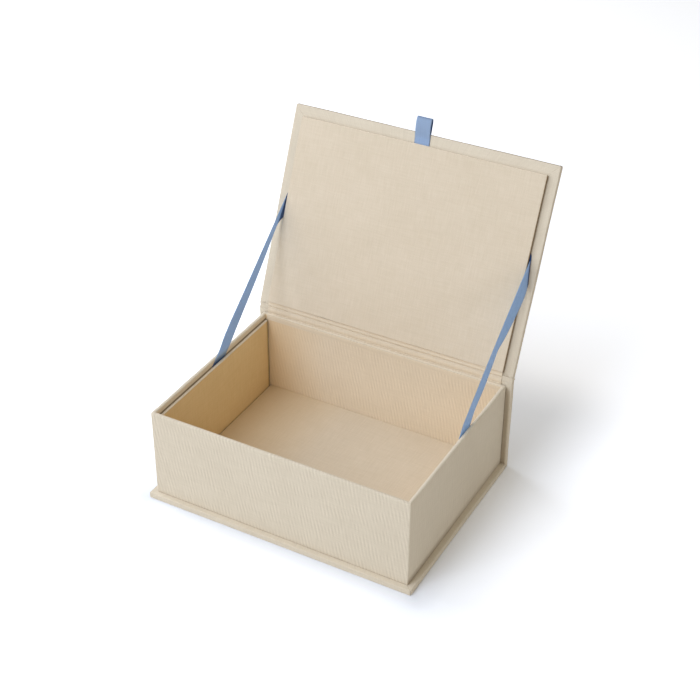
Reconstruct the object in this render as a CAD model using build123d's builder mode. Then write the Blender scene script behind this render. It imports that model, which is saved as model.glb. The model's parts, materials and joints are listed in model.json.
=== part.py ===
from build123d import *
import math
import os

# Clamshell photo storage box: a cloth-covered tray glued into a case of three thick boards,
# base, spine and lid, with cloth joints between them. Two ribbon stays hold the lid open.
#
# Millimetres. +Z is up, +X is to the right seen from the front, and the hinge is at the back, +Y.
# The origin is the centre of the base's underside. The lid stands open, hanging on its stays.

# ---------------------------------------------------------------- driving dimensions

# Book cloth, the same everywhere, and the board edges that it is wrapped round
cloth = 0.3
turn_in = 16.0
cloth_edge = 0.65
mitre_cut = 0.2

# Tray
tray_width = 216.0
tray_depth = 160.6
tray_height = 74.6
wall_board = 1.8
wall_corner = 0.25
floor_board = 1.8

# Case: base, spine and lid
case_board = 4.0
overhang = 4.7

# Hinge: the line that the lid turns about lies in the cloth joint over the spine
lid_open_angle = 113.0
pivot_behind_tray = 1.8
pivot_above_tray = 3.2
spine_above_pivot = 0.8
lid_rear_gap = 0.5
lid_shut_gap = 0.6

# Free cloth strips at the hinge
joint_free = 2.0
joint_bulge = 1.1
lining_margin = 3.9
lining_drop = 2.2
lining_lap = 3.5

# Side liners and floor liner, dropped into the tray
side_liner_board = 1.7
side_liner_drop = 5.0
floor_liner_board = 1.8
liner_gap = 0.1
ribbon_slot = 0.45

# Panel inside the lid
panel_board = 1.5
panel_turn_in = 12.0
panel_rear_margin = 3.8
panel_side_clearance = 0.8
panel_front_clearance = 1.0

# Ribbon of the two stays and the pull tab
ribbon = 0.3
ribbon_width = 13.0
ribbon_clearance = 0.2
stay_from_front = 87.5
stay_up_lid = 84.0
stay_glued_end = 25.0
stay_tucked_end = 20.0
tab_reach = 12.8
tab_tucked_end = 18.0
tab_loop_radius = 1.1
tab_loop_root = 0.6

# ---------------------------------------------------------------- worked-out dimensions

case_thickness = case_board + 2 * cloth
case_right = tray_width / 2 + overhang

tray_right = tray_width / 2
tray_front = -tray_depth / 2
tray_back = tray_depth / 2
tray_top = case_thickness + tray_height
wall_thickness = wall_board + 2 * cloth
inside_right = tray_right - wall_thickness
inside_front = tray_front + wall_thickness
inside_back = tray_back - wall_thickness
tray_board_bottom = case_thickness + cloth
floor_top = tray_board_bottom + floor_board

side_liner_thickness = side_liner_board + 2 * cloth
side_liner_top = tray_top - side_liner_drop
side_liner_back = inside_right - ribbon_slot
side_liner_face = side_liner_back - side_liner_thickness
floor_liner_top = floor_top + floor_liner_board + 2 * cloth

pivot_y = tray_back + pivot_behind_tray
pivot_z = tray_top + pivot_above_tray
spine_top = pivot_z + spine_above_pivot

# The lid's inner rear edge when shut, and where the opened hinge carries it
shut_rear_y = tray_back - lid_rear_gap
shut_inner_z = tray_top + lid_shut_gap
open_angle = math.radians(lid_open_angle)
rear_from_pivot = shut_rear_y - pivot_y
inner_from_pivot = shut_inner_z - pivot_z
open_rear_y = pivot_y + rear_from_pivot * math.cos(open_angle) + inner_from_pivot * math.sin(open_angle)
open_rear_z = pivot_z - rear_from_pivot * math.sin(open_angle) + inner_from_pivot * math.cos(open_angle)

lid_length = shut_rear_y - (tray_front - overhang)
panel_right = inside_right - panel_side_clearance
panel_front = shut_rear_y - (inside_front + panel_front_clearance)
panel_thickness = panel_board + 2 * cloth

# ---------------------------------------------------------------- working planes

# On lid_face local X is the width, local Y runs up the lid from its hinge edge, and local Z
# points into the box. The lid's inner face is at local Z = 0.
lid_up = Vector(0, -math.cos(open_angle), math.sin(open_angle))
lid_in = Vector(0, -math.sin(open_angle), -math.cos(open_angle))
lid_corner = Vector(0, open_rear_y, open_rear_z)
lid_face = Plane(origin=lid_corner, x_dir=(1, 0, 0), z_dir=lid_in)
lid_section = Plane(origin=lid_corner, x_dir=lid_up, z_dir=(1, 0, 0))

# A covered board is drawn on the plane of its cloth face, with the board behind it along +Z
base_show = Plane.XY
spine_show = Plane(origin=(0, tray_back + case_thickness, 0), x_dir=(1, 0, 0), z_dir=(0, -1, 0))
lid_show = lid_face.offset(-case_thickness)
panel_show = Plane(origin=lid_corner + lid_in * panel_thickness, x_dir=(-1, 0, 0), z_dir=-lid_in)
floor_show = Plane(origin=(0, 0, floor_liner_top), x_dir=(-1, 0, 0), z_dir=(0, 0, -1))
right_show = Plane(origin=(side_liner_face, 0, 0), x_dir=(0, 1, 0), z_dir=(1, 0, 0))
left_show = Plane(origin=(-side_liner_face, 0, 0), x_dir=(0, -1, 0), z_dir=(-1, 0, 0))


# ---------------------------------------------------------------- helpers

def rectangle_between(left, right, low, high):
    """Adds a rectangle to the sketch between two X and two Y values of its plane."""
    with Locations(((left + right) / 2, (low + high) / 2)):
        Rectangle(right - left, high - low)


def lid_point(up, inwards):
    """The (Y, Z) of a point given up the lid from its hinge edge and inwards from its inner face."""
    point = lid_corner + lid_up * up + lid_in * inwards
    return (point.Y, point.Z)


def stiff_board(show, outline, thickness, open_low=False):
    """Board inside a cover: one cloth thickness behind the show plane and inside the outline.

    outline is (left, right, low, high). With open_low the board reaches the low edge, where
    no cloth is turned over it."""
    left, right, low, high = outline
    board_low = low if open_low else low + cloth
    with BuildPart() as board:
        with BuildSketch(show.offset(cloth)):
            rectangle_between(left + cloth, right - cloth, board_low, high - cloth)
        extrude(amount=thickness)
    return board.part


def book_cloth(show, outline, board, thickness, turned, open_low=False):
    """Cloth on the show plane, wrapped round the board's edges and turned in on its back."""
    left, right, low, high = outline
    sheet_low = low - 2 * cloth_edge if open_low else low
    window_low = sheet_low if open_low else low + turned
    full_thickness = thickness + 2 * cloth
    corners = [(left, high, -1, 1), (right, high, 1, 1)]
    if not open_low:
        corners += [(left, low, -1, -1), (right, low, 1, -1)]
    mitre_length = (turned - cloth_edge + mitre_cut) * math.sqrt(2)
    mitre_centre = (turned + cloth_edge + mitre_cut) / 2

    with BuildPart() as sheet:
        with BuildSketch(show):
            rectangle_between(left, right, sheet_low, high)
        extrude(amount=full_thickness)
        fillet(sheet.edges().filter_by(Axis(show.origin, show.z_dir), reverse=True), cloth_edge)
        add(board, mode=Mode.SUBTRACT)

        # The board shows on the back between the turned-in strips, which meet in mitres
        with BuildSketch(show.offset(cloth + thickness)):
            rectangle_between(left + turned, right - turned, window_low, high - turned)
            for corner_x, corner_y, side_x, side_y in corners:
                with Locations((corner_x - side_x * mitre_centre, corner_y - side_y * mitre_centre)):
                    Rectangle(mitre_length, mitre_cut, rotation=45 * side_x * side_y)
        extrude(amount=cloth, mode=Mode.SUBTRACT)

        # No cloth is turned over the open edge
        if open_low:
            with BuildSketch(show):
                rectangle_between(left, right, sheet_low, low)
            extrude(amount=full_thickness, mode=Mode.SUBTRACT)
    return sheet.part


# ---------------------------------------------------------------- case: base

base_outline = (-case_right, case_right, -tray_back, overhang - tray_front)
base_plane = Plane(origin=base_show.origin, x_dir=(-1, 0, 0), z_dir=(0, 0, 1))

with BuildPart() as base_board:
    add(stiff_board(base_plane, base_outline, case_board, open_low=True))
base_board.part.label = "base_board"

with BuildPart() as base_cloth:
    add(book_cloth(base_plane, base_outline, base_board.part, case_board, turn_in, open_low=True))
base_cloth.part.label = "base_cloth"

# ---------------------------------------------------------------- case: spine

# Drawn upside down, because its bare edge is the top one, at the hinge
spine_plane = Plane(origin=spine_show.origin, x_dir=(-1, 0, 0), z_dir=(0, -1, 0))
spine_outline = (-case_right, case_right, -spine_top, 0)

with BuildPart() as spine_board:
    add(stiff_board(spine_plane, spine_outline, case_board, open_low=True))
spine_board.part.label = "spine_board"

with BuildPart() as spine_cloth:
    add(book_cloth(spine_plane, spine_outline, spine_board.part, case_board, turn_in, open_low=True))
    # The cloth leaves the spine a little below its top, to cross to the lid
    with BuildSketch(spine_show):
        rectangle_between(-case_right, case_right, spine_top - joint_free, spine_top)
    extrude(amount=cloth, mode=Mode.SUBTRACT)
spine_cloth.part.label = "spine_cloth"

# ---------------------------------------------------------------- tray: boards

wall_outer = tray_right - cloth
wall_inner = wall_outer - wall_board
wall_board_height = tray_top - cloth - tray_board_bottom

with BuildPart() as tray_floor_board:
    with BuildSketch(Plane.XY.offset(tray_board_bottom)):
        Rectangle(2 * wall_inner, tray_depth - 2 * (cloth + wall_board))
    extrude(amount=floor_board)
tray_floor_board.part.label = "tray_floor_board"

# The front and back walls run the full width, and the side walls stand between them
end_wall_width = 2 * wall_outer
side_wall_length = tray_depth - 2 * (cloth + wall_board)
end_wall_y = tray_back - cloth - wall_board / 2
side_wall_x = wall_outer - wall_board / 2

with BuildPart() as tray_front_wall:
    with BuildSketch(Plane.XY.offset(tray_board_bottom)):
        with Locations((0, -end_wall_y)):
            Rectangle(end_wall_width, wall_board)
    extrude(amount=wall_board_height)
    chamfer(edges().filter_by(Axis.Z).group_by(Axis.Y)[0], wall_corner)
tray_front_wall.part.label = "tray_front_wall"

with BuildPart() as tray_back_wall:
    mirror(tray_front_wall.part, about=Plane.XZ)
tray_back_wall.part.label = "tray_back_wall"

with BuildPart() as tray_right_wall:
    with BuildSketch(Plane.XY.offset(tray_board_bottom)):
        with Locations((side_wall_x, 0)):
            Rectangle(wall_board, side_wall_length)
    extrude(amount=wall_board_height)
tray_right_wall.part.label = "tray_right_wall"

with BuildPart() as tray_left_wall:
    mirror(tray_right_wall.part, about=Plane.YZ)
tray_left_wall.part.label = "tray_left_wall"

# ---------------------------------------------------------------- tray: cloth

with BuildPart() as tray_wrap_cloth:
    with BuildSketch(Plane.XY.offset(case_thickness)):
        Rectangle(tray_width, tray_depth)
    extrude(amount=tray_height)
    fillet(edges().filter_by(Axis.Z), cloth_edge)
    # Inside of the tray, above its floor board
    with BuildSketch(Plane.XY.offset(floor_top)):
        Rectangle(2 * inside_right, inside_back - inside_front)
    extrude(amount=tray_height, mode=Mode.SUBTRACT)
    # The rounded top of the wall, outside and inside
    fillet(edges().group_by(Axis.Z)[-1], cloth_edge)
    # Boards, and the open middle of the bottom
    for board in (tray_floor_board, tray_front_wall, tray_back_wall, tray_left_wall, tray_right_wall):
        add(board.part, mode=Mode.SUBTRACT)
    with BuildSketch(Plane.XY.offset(case_thickness)):
        Rectangle(tray_width - 2 * turn_in, tray_depth - 2 * turn_in)
    extrude(amount=cloth, mode=Mode.SUBTRACT)
tray_wrap_cloth.part.label = "tray_wrap_cloth"

# ---------------------------------------------------------------- tray: liners

liner_half_depth = inside_back - liner_gap
side_liner_outline = (-liner_half_depth, liner_half_depth, floor_top, side_liner_top)

with BuildPart() as right_liner_board:
    add(stiff_board(right_show, side_liner_outline, side_liner_board))
right_liner_board.part.label = "right_liner_board"

with BuildPart() as right_liner_cloth:
    add(book_cloth(right_show, side_liner_outline, right_liner_board.part, side_liner_board, turn_in))
right_liner_cloth.part.label = "right_liner_cloth"

with BuildPart() as left_liner_board:
    add(stiff_board(left_show, side_liner_outline, side_liner_board))
left_liner_board.part.label = "left_liner_board"

with BuildPart() as left_liner_cloth:
    add(book_cloth(left_show, side_liner_outline, left_liner_board.part, side_liner_board, turn_in))
left_liner_cloth.part.label = "left_liner_cloth"

floor_liner_right = side_liner_face - liner_gap
floor_liner_outline = (-floor_liner_right, floor_liner_right, -liner_half_depth, liner_half_depth)

with BuildPart() as floor_liner_board_part:
    add(stiff_board(floor_show, floor_liner_outline, floor_liner_board))
floor_liner_board_part.part.label = "floor_liner_board"

with BuildPart() as floor_liner_cloth:
    add(book_cloth(floor_show, floor_liner_outline, floor_liner_board_part.part, floor_liner_board, turn_in))
floor_liner_cloth.part.label = "floor_liner_cloth"

# ---------------------------------------------------------------- ribbon stays

# Seen from the side, a stay is one straight strip. Its lower end is glued between wall and
# liner, and at the lid it folds through a right angle and is tucked under the panel.
slot_y = tray_front + stay_from_front
lid_hold_y, lid_hold_z = lid_point(stay_up_lid, 0)
stay_run = Vector(0, lid_hold_y - slot_y, lid_hold_z - side_liner_top)
stay_along = stay_run.normalized()
stay_across = Vector(0, -stay_along.Z, stay_along.Y)
stay_lid_angle = math.acos(stay_along.dot(lid_up))
stay_outer_x = inside_right - (ribbon_slot - ribbon) / 2
stay_fold_half = ribbon_width / 2 / math.sin(stay_lid_angle)

stay_foot = Vector(0, slot_y, side_liner_top) - stay_along * stay_glued_end
foot_high = stay_foot + stay_across * (ribbon_width / 2)
foot_low = stay_foot - stay_across * (ribbon_width / 2)
fold_bottom = stay_up_lid - stay_fold_half
fold_top = stay_up_lid + stay_fold_half
tuck_x = stay_tucked_end * math.sin(stay_lid_angle)
tuck_up = stay_tucked_end * math.cos(stay_lid_angle)
tuck_outline = [
    (stay_outer_x, fold_bottom),
    (stay_outer_x, fold_top),
    (stay_outer_x - tuck_x, fold_top + tuck_up),
    (stay_outer_x - tuck_x, fold_bottom + tuck_up),
]

with BuildPart() as ribbon_stay_right:
    with BuildSketch(Plane.YZ.offset(stay_outer_x - ribbon)):
        with BuildLine():
            Polyline(
                (foot_low.Y, foot_low.Z),
                lid_point(fold_bottom, 0),
                lid_point(fold_top, 0),
                (foot_high.Y, foot_high.Z),
                close=True,
            )
        make_face()
    extrude(amount=ribbon)
    with BuildSketch(lid_face):
        with BuildLine():
            Polyline(*tuck_outline, close=True)
        make_face()
    extrude(amount=ribbon)
ribbon_stay_right.part.label = "ribbon_stay_right"

with BuildPart() as ribbon_stay_left:
    mirror(ribbon_stay_right.part, about=Plane.YZ)
ribbon_stay_left.part.label = "ribbon_stay_left"

# ---------------------------------------------------------------- lid

lid_outline = (-case_right, case_right, 0, lid_length)

with BuildPart() as lid_board:
    add(stiff_board(lid_show, lid_outline, case_board, open_low=True))
lid_board.part.label = "lid_board"

with BuildPart() as lid_cloth:
    add(book_cloth(lid_show, lid_outline, lid_board.part, case_board, turn_in, open_low=True))
    # The outer cloth leaves the lid a little above its hinge edge, to cross to the spine
    with BuildSketch(lid_show):
        rectangle_between(-case_right, case_right, 0, joint_free)
    extrude(amount=cloth, mode=Mode.SUBTRACT)
lid_cloth.part.label = "lid_cloth"

panel_outline = (-panel_right, panel_right, panel_rear_margin, panel_front)
tab_pocket_half = ribbon_width / 2 + ribbon_clearance
tab_pocket_start = panel_front - tab_tucked_end - ribbon_clearance


# Room for the tucked ribbon ends in the back of the panel
with BuildPart() as ribbon_pockets:
    with BuildSketch(lid_face):
        with BuildLine():
            Polyline(*tuck_outline, close=True)
        make_face()
        offset(amount=ribbon_clearance, kind=Kind.INTERSECTION)
        mirror(about=Plane.YZ)
    extrude(amount=ribbon)
    with BuildSketch(lid_face):
        rectangle_between(-tab_pocket_half, tab_pocket_half, tab_pocket_start, panel_front + cloth)
    extrude(amount=2 * ribbon)

with BuildPart() as lid_panel_board:
    add(stiff_board(panel_show, panel_outline, panel_board))
    add(ribbon_pockets.part, mode=Mode.SUBTRACT)
lid_panel_board.part.label = "lid_panel_board"

with BuildPart() as lid_panel_cloth:
    add(book_cloth(panel_show, panel_outline, lid_panel_board.part, panel_board, panel_turn_in))
    add(ribbon_pockets.part, mode=Mode.SUBTRACT)
lid_panel_cloth.part.label = "lid_panel_cloth"

# ---------------------------------------------------------------- pull tab

# A doubled ribbon: both ends lie on each other under the panel, and the loop stands beyond
# the lid's front edge, opened a little by the fold.
tab_tip = lid_length + tab_reach
tab_start = panel_front - tab_tucked_end
loop_centre = tab_tip - tab_loop_radius
loop_inner = tab_loop_radius - ribbon

with BuildPart() as pull_tab:
    with BuildSketch(lid_section):
        with BuildLine():
            near_leg = Line((tab_start, 0), (lid_length, 0))
            Line(near_leg @ 1, (loop_centre, ribbon - tab_loop_radius))
            ThreePointArc(
                (loop_centre, ribbon - tab_loop_radius),
                (tab_tip, ribbon),
                (loop_centre, ribbon + tab_loop_radius),
            )
            Line((loop_centre, ribbon + tab_loop_radius), (lid_length, 2 * ribbon))
            far_leg = Line((lid_length, 2 * ribbon), (tab_start, 2 * ribbon))
            Line(far_leg @ 1, near_leg @ 0)
        make_face()
        with BuildLine():
            Line((lid_length + tab_loop_root, ribbon), (loop_centre, ribbon - loop_inner))
            ThreePointArc(
                (loop_centre, ribbon - loop_inner),
                (loop_centre + loop_inner, ribbon),
                (loop_centre, ribbon + loop_inner),
            )
            Line((loop_centre, ribbon + loop_inner), (lid_length + tab_loop_root, ribbon))
        make_face(mode=Mode.SUBTRACT)
    extrude(amount=ribbon_width / 2, both=True)
pull_tab.part.label = "pull_tab"

# ---------------------------------------------------------------- cloth strips at the hinge

# Outer strip: it leaves the spine's outer face, swells out behind the joint and lands on the
# lid's outer face. At both ends it is folded round the boards and turned in like the rest.
spine_outer_y = tray_back + case_thickness
joint_low = (spine_outer_y, spine_top - joint_free)
joint_low_inner = (spine_outer_y - cloth, spine_top - joint_free)
joint_high = lid_point(joint_free, -case_thickness)
joint_high_inner = lid_point(joint_free, cloth - case_thickness)
joint_chord = Vector(joint_high[0] - joint_low[0], joint_high[1] - joint_low[1])
joint_out = Vector(joint_chord.Y, -joint_chord.X).normalized()
joint_middle = Vector(*joint_low) + joint_chord / 2 + joint_out * joint_bulge
joint_middle_inner = joint_middle - joint_out * cloth
lid_edge_inner = lid_point(0, 0)
lid_edge_outer = lid_point(0, cloth - case_thickness)

with BuildPart() as hinge_cloth:
    with BuildSketch(Plane.YZ):
        with BuildLine():
            ThreePointArc(joint_low, (joint_middle.X, joint_middle.Y), joint_high)
            Line(joint_high, joint_high_inner)
            ThreePointArc(joint_high_inner, (joint_middle_inner.X, joint_middle_inner.Y), joint_low_inner)
            Line(joint_low_inner, joint_low)
        make_face()
    extrude(amount=case_right, both=True)
    # Folded ends, one cloth thickness wide, that close the joint at its sides
    for end_plane in (Plane.YZ.offset(case_right - cloth), Plane.YZ.offset(-case_right)):
        with BuildSketch(end_plane):
            with BuildLine():
                ThreePointArc(joint_low, (joint_middle.X, joint_middle.Y), joint_high)
                Polyline(joint_high, joint_high_inner, lid_edge_outer, lid_edge_inner)
                Polyline(
                    lid_edge_inner,
                    (tray_back, spine_top),
                    (spine_outer_y - cloth, spine_top),
                    joint_low_inner,
                    joint_low,
                )
            make_face()
        extrude(amount=cloth)
    # Turned-in ends on the inner side of the joint
    for start in (case_right - turn_in, -case_right):
        with BuildSketch(Plane.YZ.offset(start)):
            with BuildLine():
                Polyline(
                    (tray_back, spine_top),
                    (tray_back + cloth, spine_top),
                    lid_point(0, -cloth),
                    lid_edge_inner,
                    close=True,
                )
            make_face()
        extrude(amount=turn_in)
hinge_cloth.part.label = "hinge_cloth"

# Inner strip: over the top of the back wall, up the spine and onto the lid, short of the panel
lining_half = tray_right - lining_margin
lining_low = tray_top - lining_drop

with BuildPart() as hinge_lining:
    with BuildSketch(Plane.YZ.offset(-lining_half)):
        with BuildLine():
            Polyline(
                (inside_back, lining_low),
                (inside_back, tray_top),
                (tray_back, tray_top),
                (tray_back, spine_top),
                lid_edge_inner,
                lid_point(lining_lap, 0),
                lid_point(lining_lap, cloth),
                lid_point(0, cloth),
                (tray_back - cloth, spine_top),
                (tray_back - cloth, tray_top + cloth),
                (inside_back - cloth, tray_top + cloth),
                (inside_back - cloth, lining_low),
                close=True,
            )
        make_face()
    extrude(amount=2 * lining_half)
hinge_lining.part.label = "hinge_lining"

# ---------------------------------------------------------------- export

os.makedirs("parts", exist_ok=True)
export_step(base_board.part, "parts/base_board.step")
export_step(base_cloth.part, "parts/base_cloth.step")
export_step(spine_board.part, "parts/spine_board.step")
export_step(spine_cloth.part, "parts/spine_cloth.step")
export_step(tray_floor_board.part, "parts/tray_floor_board.step")
export_step(tray_front_wall.part, "parts/tray_front_wall.step")
export_step(tray_back_wall.part, "parts/tray_back_wall.step")
export_step(tray_left_wall.part, "parts/tray_left_wall.step")
export_step(tray_right_wall.part, "parts/tray_right_wall.step")
export_step(tray_wrap_cloth.part, "parts/tray_wrap_cloth.step")
export_step(right_liner_board.part, "parts/right_liner_board.step")
export_step(right_liner_cloth.part, "parts/right_liner_cloth.step")
export_step(left_liner_board.part, "parts/left_liner_board.step")
export_step(left_liner_cloth.part, "parts/left_liner_cloth.step")
export_step(floor_liner_board_part.part, "parts/floor_liner_board.step")
export_step(floor_liner_cloth.part, "parts/floor_liner_cloth.step")
export_step(ribbon_stay_right.part, "parts/ribbon_stay_right.step")
export_step(ribbon_stay_left.part, "parts/ribbon_stay_left.step")
export_step(lid_board.part, "parts/lid_board.step")
export_step(lid_cloth.part, "parts/lid_cloth.step")
export_step(lid_panel_board.part, "parts/lid_panel_board.step")
export_step(lid_panel_cloth.part, "parts/lid_panel_cloth.step")
export_step(pull_tab.part, "parts/pull_tab.step")
export_step(hinge_cloth.part, "parts/hinge_cloth.step")
export_step(hinge_lining.part, "parts/hinge_lining.step")
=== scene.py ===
# %% [markdown]
# # A cloth-covered photo box
# A clamshell box is a tray of grey board glued into a case of three thick boards: base, spine and
# lid. Every board is wrapped in book cloth, one thin woven sheet that goes round the edges and is
# turned in on the back. Two ribbon stays hold the lid open, and a ribbon loop pulls it up.
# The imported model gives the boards, the joint and every place. This notebook sews the cloth on.

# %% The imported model
import json
import math
from functools import partial

import bmesh
import bpy
import numpy as np
from mathutils import Matrix, Vector


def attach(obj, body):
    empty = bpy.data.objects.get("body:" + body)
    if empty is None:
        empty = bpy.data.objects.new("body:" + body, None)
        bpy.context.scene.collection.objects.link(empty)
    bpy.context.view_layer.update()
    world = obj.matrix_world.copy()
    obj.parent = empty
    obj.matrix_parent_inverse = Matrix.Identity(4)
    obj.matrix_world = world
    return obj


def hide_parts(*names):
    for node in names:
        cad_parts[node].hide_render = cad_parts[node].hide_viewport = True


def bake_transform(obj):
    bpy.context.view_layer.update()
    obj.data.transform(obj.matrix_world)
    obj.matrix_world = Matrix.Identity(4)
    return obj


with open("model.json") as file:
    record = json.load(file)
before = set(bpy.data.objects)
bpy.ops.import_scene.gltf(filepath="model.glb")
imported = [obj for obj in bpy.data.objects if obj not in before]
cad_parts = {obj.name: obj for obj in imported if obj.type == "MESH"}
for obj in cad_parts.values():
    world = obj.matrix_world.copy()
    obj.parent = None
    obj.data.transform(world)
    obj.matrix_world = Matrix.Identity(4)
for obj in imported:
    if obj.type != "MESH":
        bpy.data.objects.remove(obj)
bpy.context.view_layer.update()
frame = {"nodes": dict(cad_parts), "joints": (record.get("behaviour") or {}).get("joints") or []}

# %% [markdown]
# ## Sizes
# The cloth has to lie where the model's cloth lies, so its main measures are named here, all in
# millimetres. The lid stands open at 113 degrees, so it gets its own two directions: `up_lid`
# runs from the hinge edge to the free edge, and `into_lid` points from the lid to the box.

# %% Sizes in millimetres, and the opened lid's own directions
tray_half_width = 108.0
tray_half_depth = 80.3
tray_bottom = 4.6
tray_top = 79.2
tray_floor_top = 6.7
wall_thickness = 2.4
case_half_width = 112.7
case_front = -85.0
case_thickness = 4.6
spine_back = 84.9
spine_top = 83.2
panel_half_width = 104.8
panel_foot, panel_head = 3.8, 156.7
turned_in = 16.0
edge_radius = 0.65
cloth_thickness = 0.3
ribbon_width = 13.0
ribbon_thickness = 0.3

lid_angle = math.radians(113.0)
lid_length = 164.8
lid_foot = 1.2
up_lid = np.array([0.0, -math.cos(lid_angle), math.sin(lid_angle)])
into_lid = np.array([0.0, -math.sin(lid_angle), -math.cos(lid_angle)])
pivot = np.array([0.0, *(1000 * c for c in frame["joints"][0]["pos_m"][1:])])
# From the pivot line it is 2.3 mm up the lid and 2.6 mm inwards to the lid's inner hinge edge
lid_corner = pivot + 2.3 * up_lid + 2.6 * into_lid


def on_lid(across, up, inwards=0.0):
    """A point in mm: the lid's hinge corner, plus up times up_lid, plus inwards times into_lid."""
    return np.array([across, 0.0, 0.0]) + lid_corner + up * up_lid + inwards * into_lid


print("lid corner:", lid_corner.round(2), "free edge:", on_lid(0, lid_length).round(1))

# %% [markdown]
# ## Camera
# The box is seen from the front right, about 34 degrees above the table, through a short
# telephoto lens. The camera's three axes are built by hand, because that also gives the small
# roll of a hand-levelled tripod, and they go into its matrix as columns.

# %% Camera
azimuth, elevation = 28.73, 34.04
roll = math.radians(0.257)
aim = Vector((-0.0756, 0.1675, 0.0))
distance = 1.3024


def way_from_box(turn, rise):
    """The direction from the box that points turn degrees right of its front and rise up."""
    turn, rise = math.radians(turn), math.radians(rise)
    return Vector((math.sin(turn) * math.cos(rise), -math.cos(turn) * math.cos(rise), math.sin(rise)))


camera_data = bpy.data.cameras.new("camera")
camera_data.sensor_width = 36.0
camera_data.lens = 75.63
camera = bpy.data.objects.new("camera", camera_data)
bpy.context.scene.collection.objects.link(camera)

back = way_from_box(azimuth, elevation)
level = Vector((0, 0, 1)).cross(back).normalized()
plumb = back.cross(level)
right = math.cos(roll) * level + math.sin(roll) * plumb
up = math.cos(roll) * plumb - math.sin(roll) * level
place = aim + distance * back
camera.matrix_world = Matrix([(*axis, p) for *axis, p in zip(right, up, back, place)] + [(0, 0, 0, 1)])
bpy.context.scene.camera = camera
print("camera at", [round(c, 3) for c in place])

# %% [markdown]
# ## Nodes and colours
# Blender's shaders work in linear light, while a colour picked on a screen is sRGB. One function
# turns a hex value into linear numbers. A second one adds a node, sets it and links it, and a new
# material comes with that function already bound to it, so that making a shader reads as a list.

# %% Helpers for materials


def linear(hex_colour):
    """sRGB to linear: each channel c becomes ((c + 0.055) / 1.055) ** 2.4, or c / 12.92 when dark."""
    channels = [int(hex_colour[i : i + 2], 16) / 255 for i in (1, 3, 5)]
    return [((c + 0.055) / 1.055) ** 2.4 if c > 0.04045 else c / 12.92 for c in channels] + [1.0]


def add_node(material, kind, inputs=(), operation=None, **settings):
    """Adds a shader node. inputs go to its sockets, as a list in their order, or as a dict by name
    or number: a value, an output, or a node for its first output. operation is what a Math or
    VectorMath node does, and settings are a node's other properties."""
    node = material.node_tree.nodes.new("ShaderNode" + kind)
    if operation:
        node.operation = operation
    for name, value in settings.items():
        setattr(node, name, value)
    for socket, source in inputs.items() if isinstance(inputs, dict) else enumerate(inputs):
        if isinstance(source, bpy.types.Node):
            source = source.outputs[0]
        if isinstance(source, bpy.types.NodeSocket):
            material.node_tree.links.new(source, node.inputs[socket])
        else:
            node.inputs[socket].default_value = source
    return node


def new_material(name):
    """A material with no nodes yet, and the function that adds a node to it."""
    material = bpy.data.materials.new(name)
    material.use_nodes = True
    material.node_tree.nodes.clear()
    return material, partial(add_node, material)


# %% [markdown]
# ## Paper and light
# The box stands on matt white paper, between three large soft windows, in front, on the left and
# high up, and a white card on the right. An even white world fills the shadows. The lamps stay at
# the level where the cloth renders about as its colour is written, and that would leave the paper
# grey. So only the camera and reflections see a paper brighter than white. Near the box it is a
# little greyer, and greyest beside the base at the front, where hardly any light gets: this grey is a painted
# shadow.

# %% White paper
floor_half = 3.0
floor_corners = [(x, y, 0.0) for x in (-floor_half, floor_half) for y in (-floor_half, floor_half)]
floor_mesh = bpy.data.meshes.new("paper_floor")
floor_mesh.from_pydata(floor_corners, [], [(0, 2, 3, 1)])
paper_floor = bpy.data.objects.new("paper_floor", floor_mesh)
bpy.context.scene.collection.objects.link(paper_floor)

paper, add = new_material("white background paper")
path = add("LightPath").outputs
seen = add("Math", [path["Is Camera Ray"], path["Is Glossy Ray"]], "ADD", use_clamp=True)
plain = add("BsdfDiffuse", {"Color": linear("#e8e6e2")})

# How far outside the base, and the ground that the lid leans over, a place is, in metres
covered_middle = (0.0, 0.0375, 0.0)
covered_half = (0.1127, 0.1225, 0.0)
where = add("TexCoord").outputs["Object"]
centred = add("VectorMath", [where, covered_middle], "SUBTRACT")
mirrored = add("VectorMath", [centred], "ABSOLUTE")
outside = add("VectorMath", [mirrored, covered_half], "SUBTRACT")
outside = add("VectorMath", [outside, (0.0, 0.0, 0.0)], "MAXIMUM")
off_box = add("VectorMath", [outside], "LENGTH").outputs["Value"]
# Painted shadow: close round the box the paper is painted greyer, and from 8 cm out brighter than white
painted_shadow_fade = add("MapRange", [off_box, -0.01, 0.08], interpolation_type="SMOOTHSTEP")
white = add("MixRGB", [painted_shadow_fade, (1.07, 1.11, 1.18, 1.0), (1.48, 1.51, 1.57, 1.0)])

# Painted contact shadow: right beside the base the paper is painted darker still, most at the front
front_to_back = add("SeparateXYZ", [where]).outputs["Y"]
deepest_painted_shadow = add("MapRange", [front_to_back, -0.08, 0.04, 0.82, 1.0])
narrowed = add("VectorMath", [outside, (0.65, 1.0, 0.0)], "MULTIPLY")
beside_box = add("VectorMath", [narrowed], "LENGTH").outputs["Value"]
painted_contact_shadow = add("MapRange", [beside_box, 0.0, 0.014, deepest_painted_shadow, 1.0])
white = add("VectorMath", {0: white, "Scale": painted_contact_shadow}, "SCALE")
bright = add("BsdfDiffuse", {"Color": white})
add("OutputMaterial", {"Surface": add("MixShader", [seen, plain, bright])})
floor_mesh.materials.append(paper)
print("paper:", 2 * floor_half, "m square")

# %% Lamps and world
world = bpy.data.worlds.new("white room")
bpy.context.scene.world = world
world.use_nodes = True
world.node_tree.nodes.clear()
add = partial(add_node, world)
ambient = add("Background", {"Color": linear("#fff7e8"), "Strength": 0.42})
backdrop = add("Background", {"Color": (1.0, 1.0, 1.0, 1.0), "Strength": 1.0})
to_camera = add("LightPath").outputs["Is Camera Ray"]
add("OutputWorld", {"Surface": add("MixShader", [to_camera, ambient, backdrop])})

lamp_target = Vector((0.0, 0.0, 0.1))
lamp_distance = 1.7
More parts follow.
